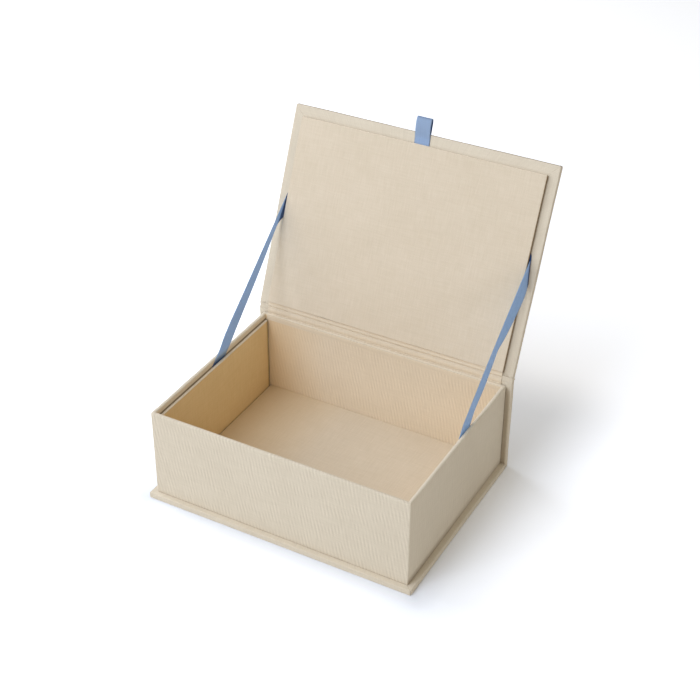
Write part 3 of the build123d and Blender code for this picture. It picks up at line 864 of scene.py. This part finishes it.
# Corners of its section, as y and z: up the wall's inside, over its top, up the spine, on the lid
up_and_in = ((-0.35, 0.1), (0.0, 0.02), (0.4, 0.22), (1.4, 0.35), (2.5, 0.45), (3.1, 0.9), (3.7, 1.45))
strip_route = np.array([
    (inside_back - 0.02, 73.9), (inside_back - 0.32, 74.2), (inside_back - 0.34, 77.4),
    (inside_back - 0.3, 78.3), (inside_back + 0.05, tray_top + 0.05), (inside_back + 0.7, tray_top + 0.38),
    (79.1, tray_top + 0.48), (79.7, tray_top + 0.6), (79.93, tray_top + 0.9), (80.0, 80.8), (80.02, 82.2),
    (80.1, spine_top), *(on_lid(0, up, inwards)[1:] for up, inwards in up_and_in),
])
wall_bend, spine_crease, lid_crease = 3, 7, 13


def even_line(corners, count):
    """Even, smoothed points along a chain of corners, then how far along points and corners are."""
    length = np.append(0.0, np.cumsum(np.hypot(*np.diff(corners, axis=0).T)))
    at = np.linspace(0, length[-1], count)
    return smoothed(np.stack([np.interp(at, length, corners[:, k]) for k in (0, 1)], -1), 2), at, length


def between(at, first, last):
    """A swell between two places along the strip: sin(pi t) to the power 0.8, t from 0 to 1."""
    return np.sin(math.pi * ramp(at, first, last)) ** 0.8


profile, along_strip, corner_at = even_line(strip_route, 150)
at_wall, at_spine, at_lid = corner_at[[wall_bend, spine_crease, lid_crease]]

# Towards the box's inside is the profile turned a quarter left
ways = np.gradient(profile, axis=0)
inside = np.stack([-ways[:, 1], ways[:, 0]], -1) / np.hypot(*ways.T)[:, None]
swell = 0.5 * between(along_strip, at_spine, at_lid) + 0.4 * between(along_strip, at_lid, corner_at[-1])
press = 0.6 * peak(along_strip, at_spine, 0.5) + peak(along_strip, at_lid, 0.5)
profile = profile + inside * (swell - 0.25 * press)[:, None]

# Glue holds it flat at both its edges
flat = np.stack(np.meshgrid(stations(strip_half, 81), along_strip), -1)
free = np.sin(math.pi * along_strip / along_strip[-1])[:, None]
wave = glued_waviness(flat, 41, 0.05) * free
points = np.stack([flat[..., 0], profile[:, 0, None] - wave, profile[:, 1, None] + 0 * wave], -1)
quads = grid_quads(*flat.shape[:2])
hinge_strip = cloth_piece("hinge_strip", points, quads, flat, painted_light_cloth)
# Painted shade in the two creases, at the strip's lower end and over the wall's top
painted_strip_shade = 0.06 * press + 0.1 * peak(along_strip, 0.0, 0.45) + 0.07 * between(along_strip, at_wall, at_spine)
# and three faint lines of painted shade: on the wall's inside, over its top and under the lid's edge
for line_at, line_width, dark in ((1.7, 0.8, 0.045), (6.95, 0.95, 0.15), (12.8, 1.1, 0.14)):
    painted_strip_shade += dark * peak(along_strip, line_at, line_width)
mark_points(hinge_strip, "painted_shade", np.broadcast_to(painted_strip_shade[:, None], points.shape[:2]))
give_thickness(hinge_strip, cloth_thickness - 0.02)
finish_mesh(hinge_strip)
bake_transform(hinge_strip)
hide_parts("hinge_lining")
print("hinge strip:", len(hinge_strip.data.polygons), "faces,", round(along_strip[-1], 1), "mm wide")

# %% [markdown]
# ## Ribbon
# Satin ribbon is woven so that long floats of fine filament lie along it. It shines softly, lets
# some light through, and its two selvedges are a little thicker. The streaks run along the
# ribbon, fine ribs cross it, and its folds and shaded places are painted a deeper blue, as painted shade.

# %% Satin ribbon material
# Real filaments are far finer. Their streaks are drawn 0.9 mm wide and 30 mm long, so that they show
float_width, float_length = 0.9, 30.0
rib_pitch = 0.8
shaded_blue = linear("#26518f")
satin, add = new_material("polyester satin ribbon, dusty blue")
yarns = add("UVMap", uv_map="yarns")
stretched = add("VectorMath", [yarns, (1000 / float_width, 1000 / float_length, 0)], "MULTIPLY")
floats = add("TexNoise", {"Vector": stretched, "Scale": 1.0, "Detail": 3.0, "Roughness": 0.6})
along = add("SeparateXYZ", [yarns]).outputs["Y"]
ribs = add("Math", [along, 2 * math.pi * 1000 / rib_pitch], "MULTIPLY")
ribs = add("Math", [ribs], "SINE")
height = add("Math", [ribs, 0.12, floats], "MULTIPLY_ADD")
tone = add("MapRange", [height, 0.25, 0.75])
painted_shade = add("Attribute", attribute_name="painted_shade").outputs["Fac"]
colour = add("MixRGB", [tone, linear("#b0caeb"), linear("#c2dbfa")])
# Painted shade: a deeper blue where the mark says, in the ribbon's colour and in the light it lets through
colour = add("MixRGB", [painted_shade, colour, shaded_blue])
bump = add("Bump", {"Strength": 0.35, "Distance": 0.0002, "Height": height})
surface = add("BsdfPrincipled", {
    "Base Color": colour, "Roughness": 0.5, "Specular IOR Level": 0.4,
    "Sheen Weight": 0.15, "Sheen Roughness": 0.4, "Normal": bump,
})
through_colour = add("MixRGB", [painted_shade, linear("#a8ccea"), shaded_blue])
through = add("BsdfTranslucent", {"Color": through_colour, "Normal": bump})
add("OutputMaterial", {"Surface": add("MixShader", [0.43, surface, through])})

# %% [markdown]
# ## Ribbon stays
# A stay starts glued between the wall and its liner, comes up through the slot, runs free to the
# lid, folds there and ends under the panel. It is a surface between two edges, and each edge is
# a line of its own, so a twist is only a few millimetres' difference in how far the two stand
# out sideways. The right stay has a kink halfway, and the left one turns slowly all the way up.

# %% Ribbon surface


def ribbon_piece(name, low_edge, high_edge, shade, crown=0.0, thickness=ribbon_thickness):
    """A ribbon between two edges, given row by row. Across it each row is a thin closed loop: out
    over the top and back underneath, thicker at the selvedges, bowed by crown mm. shade tells how
    dark a point is from its place across, -1 to 1, its mm along, and 1 or -1 for top or bottom.
    thickness may be a column with a value for each row. Gives the piece and its length."""
    spread = np.linspace(-1, 1, 13)
    loop = np.concatenate([spread, spread[-2:0:-1]])
    over = np.concatenate([np.ones(13), -np.ones(11)])
    over[[0, 12]] = 0.0
    half = thickness / 2 * (0.62 + 0.5 * (np.abs(loop) > 0.7)) * np.ones((len(low_edge), 1))
    middle, reach = (low_edge + high_edge) / 2, (high_edge - low_edge) / 2
    normal = np.cross(reach, np.gradient(middle, axis=0))
    normal /= np.linalg.norm(normal, axis=1)[:, None]
    length = np.append(0.0, np.cumsum(np.linalg.norm(np.diff(middle, axis=0), axis=1)))
    rise = over * half + crown * ramp(length, 40.0, 60.0)[:, None] * (1 - loop**2)
    points = middle[:, None] + reach[:, None] * loop[None, :, None] + normal[:, None] * rise[..., None]
    flat = np.stack(np.meshgrid(loop * ribbon_width / 2, length), -1)
    quads = grid_quads(len(middle), len(loop), closed=True)
    piece = cloth_piece(name, points, quads, flat, satin)
    mark_points(piece, "painted_shade", shade(*np.broadcast_arrays(loop[None], length[:, None], over[None])))
    shell = bmesh.new()
    shell.from_mesh(piece.data)
    bmesh.ops.holes_fill(shell, edges=[e for e in shell.edges if e.is_boundary], sides=0)
    bmesh.ops.recalc_face_normals(shell, faces=shell.faces)
    shell.to_mesh(piece.data)
    shell.free()
    return piece, length[-1]


# %% A stay's edges and shade, straight from the glued foot to the lid as a stretched ribbon lies
glued_length, tucked_length = 25.0, 20.0
slot_middle = np.array([0.0, 7.2, liner_top])
lid_hold = on_lid(0, 84.0)
run_length = np.linalg.norm(lid_hold - slot_middle)
ribbon_way = (lid_hold - slot_middle) / run_length
ribbon_side = np.array([0.0, -ribbon_way[2], ribbon_way[1]])
fold_angle = math.acos(float(ribbon_way @ up_lid))
stay_x = 105.375
half_ribbon = ribbon_width / 2


def stay_edge(side, offset_across, fold_up, fold_out, keys, sideways):
    """One edge of a stay: foot, slot, free run, a rounded fold, then 20 mm under the panel. Along
    the run it stands out sideways by the values at the keys, smoothed between them."""
    foot = slot_middle - glued_length * ribbon_way + offset_across * ribbon_side
    fold = on_lid(0, fold_up, 0.22)
    share = np.linspace(0, 0.985, 120)
    run = foot + share[:, None] * (fold - foot)
    run[:, 0] = side * stay_x + smoothed(np.interp(share, keys, sideways), 6)
    fold[0] = side * (stay_x + fold_out)
    tuck_way = -side * math.sin(fold_angle) * x_axis + math.cos(fold_angle) * up_lid
    t = np.linspace(0, 1, 9)[1:, None]
    bend = (1 - t) ** 2 * run[-1] + 2 * t * (1 - t) * fold + t**2 * (fold + 2.0 * tuck_way)
    tucked = fold + np.linspace(2.0, tucked_length, 10)[1:, None] * tuck_way
    return np.concatenate([run, bend, tucked])


def stay_shade(fold, fold_dark, slot, slot_dark, slant=0.0):
    """How much painted shade a stay gets: between two of its mm where it folds over onto the lid,
    slanting to the lower edge, and between two heights above the slot that it comes out of."""
    def shade(across, along, over):
        height = (along - glued_length) * ribbon_way[2] + half_ribbon * across * ribbon_way[1]
        return np.maximum(fold_dark * ramp(along - slant * across, *fold), slot_dark * ramp(height, *slot))
    return shade


# %% Left and right stay
left_low = stay_edge(-1, -half_ribbon, 74.2, 0.05, [0, 0.29, 0.345, 0.5, 0.63, 0.77, 0.9, 0.96, 0.985],
                     [0.12, 0.12, -0.2, -0.5, -0.8, -1.4, -2.3, -2.6, -1.2])
left_high = stay_edge(-1, half_ribbon, 95.0, 0.05, [0, 0.19, 0.25, 0.33, 0.5, 0.8, 1.0],
                      [0.12, 0.12, -0.9, -1.1, -0.7, -0.4, -0.2])
right_low = stay_edge(1, -half_ribbon, 73.2, 3.2,
                      [0, 0.235, 0.28, 0.33, 0.45, 0.6, 0.645, 0.70, 0.77, 0.84, 0.905, 0.96, 0.985],
                      [0, 0, -0.6, -1.1, -0.4, -0.7, -1.1, 0.5, 1.7, 2.7, 3.4, 3.6, 2.9])
right_high = stay_edge(1, half_ribbon, 94.8, 0.9, [0, 0.12, 0.2, 0.5, 0.68, 0.85, 1.0],
                       [0, 0, -1.2, -1.0, -0.5, 0.0, 0.5])

# Shut, the free run folds up flat between the wall and the lid, and nothing of it shows outside.
# Each stay is listed with two shares of its run, chosen as where it would bend then
for side, edges, bends, shade in (
    ("left", (left_low, left_high), (-0.02, 0.96),
     stay_shade((158.3, 159.5), 0.75, (3.8, 0.6), 0.95, slant=2.4)),
    ("right", (right_low, right_high), (-0.11, 1.01),
     stay_shade((160.3, 161.1), 0.97, (1.0, -0.5), 0.97)),
):
    stay, length = ribbon_piece(f"{side}_stay", *edges, shade, crown=0.12)
    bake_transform(stay)
    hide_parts(f"ribbon_stay_{side}")
    print(f"{side} stay: {length:.0f} mm long, {run_length:.0f} mm of it free")

# %% [markdown]
# ## Pull tab
# A short piece of the same ribbon, doubled. Both ends lie under the panel's front edge, and the
# loop stands beyond the lid's edge, held open by the stiffness of the fold like a drop.

# %% Pull tab
tab_tip = 177.6
tab_root = lid_length - 3.0
tab_start = panel_head - 18.0
# How far the two legs' middles are from the lid, and how thin the shut lid presses each of them
leg_on_lid, leg_on_leg = 0.065, 0.185
pressed_thickness = 0.11


def tab_section():
    """The tab's middle line as (up, inwards): out along the upper leg, round, and back."""
    t = np.linspace(0, 1, 41)[1:-1]
    belly = 2.15
    turn = math.pi * t
    reach = tab_tip - ribbon_thickness / 2 - tab_root
    loop_up = tab_root + reach * np.sin(turn) ** 0.72
    loop_in = 0.3 + belly * np.cos(turn) * np.sin(turn) ** 0.45 - 1.1 * np.sin(turn) ** 2
    # On the lid's border the loop's back leg lies flat, and only its front leg stands away
    loop_in = np.where(loop_up < lid_length + 0.5, np.maximum(loop_in, leg_on_lid), loop_in)
    leg = np.linspace(tab_start, tab_root, 40)
    up = np.concatenate([leg, loop_up, leg[::-1]])
    inwards = np.concatenate([leg_on_leg + 0 * leg, loop_in, leg_on_lid + 0 * leg])
    return smoothed(np.stack([up, inwards], -1), 3)


def inside_loop(across, along, over):
    """How much painted shade the tab gets: on the loop's inner face, which gets no light, and a little at the
    tip.
    """
    leg, whole = tab_root - tab_start, along.max()
    in_loop = ramp(along, leg, leg + 1.5) * ramp(along, whole - leg + 5.0, whole - leg + 3.5)
    tip = peak(along, whole / 2, 1.2)
    inner_side = (over < 0) | ((over == 0) & (along > whole / 2))
    return np.maximum(0.97 * in_loop * inner_side, 0.4 * tip * (over > 0))


section = tab_section()
# It leans to one side towards its tip
lean = np.interp(section[:, 0], (panel_head, tab_tip), (0.4, -1.5))
low_edge, high_edge = (
    np.stack([on_lid(across + edge, up, inwards) for across, (up, inwards) in zip(lean, section)])
    for edge in (-half_ribbon, half_ribbon)
)
# Both its layers pass between the shut lid and the front wall, so they are pressed thin up to there
thickness = np.interp(section[:, 0], (tab_root - 0.5, tab_root + 3), (pressed_thickness, ribbon_thickness))
pull_tab, tab_length = ribbon_piece(
    "pull_tab_ribbon", low_edge, high_edge, inside_loop, thickness=thickness[:, None])
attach(pull_tab, "lid")
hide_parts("pull_tab")
print(f"pull tab: {tab_length:.0f} mm of ribbon")
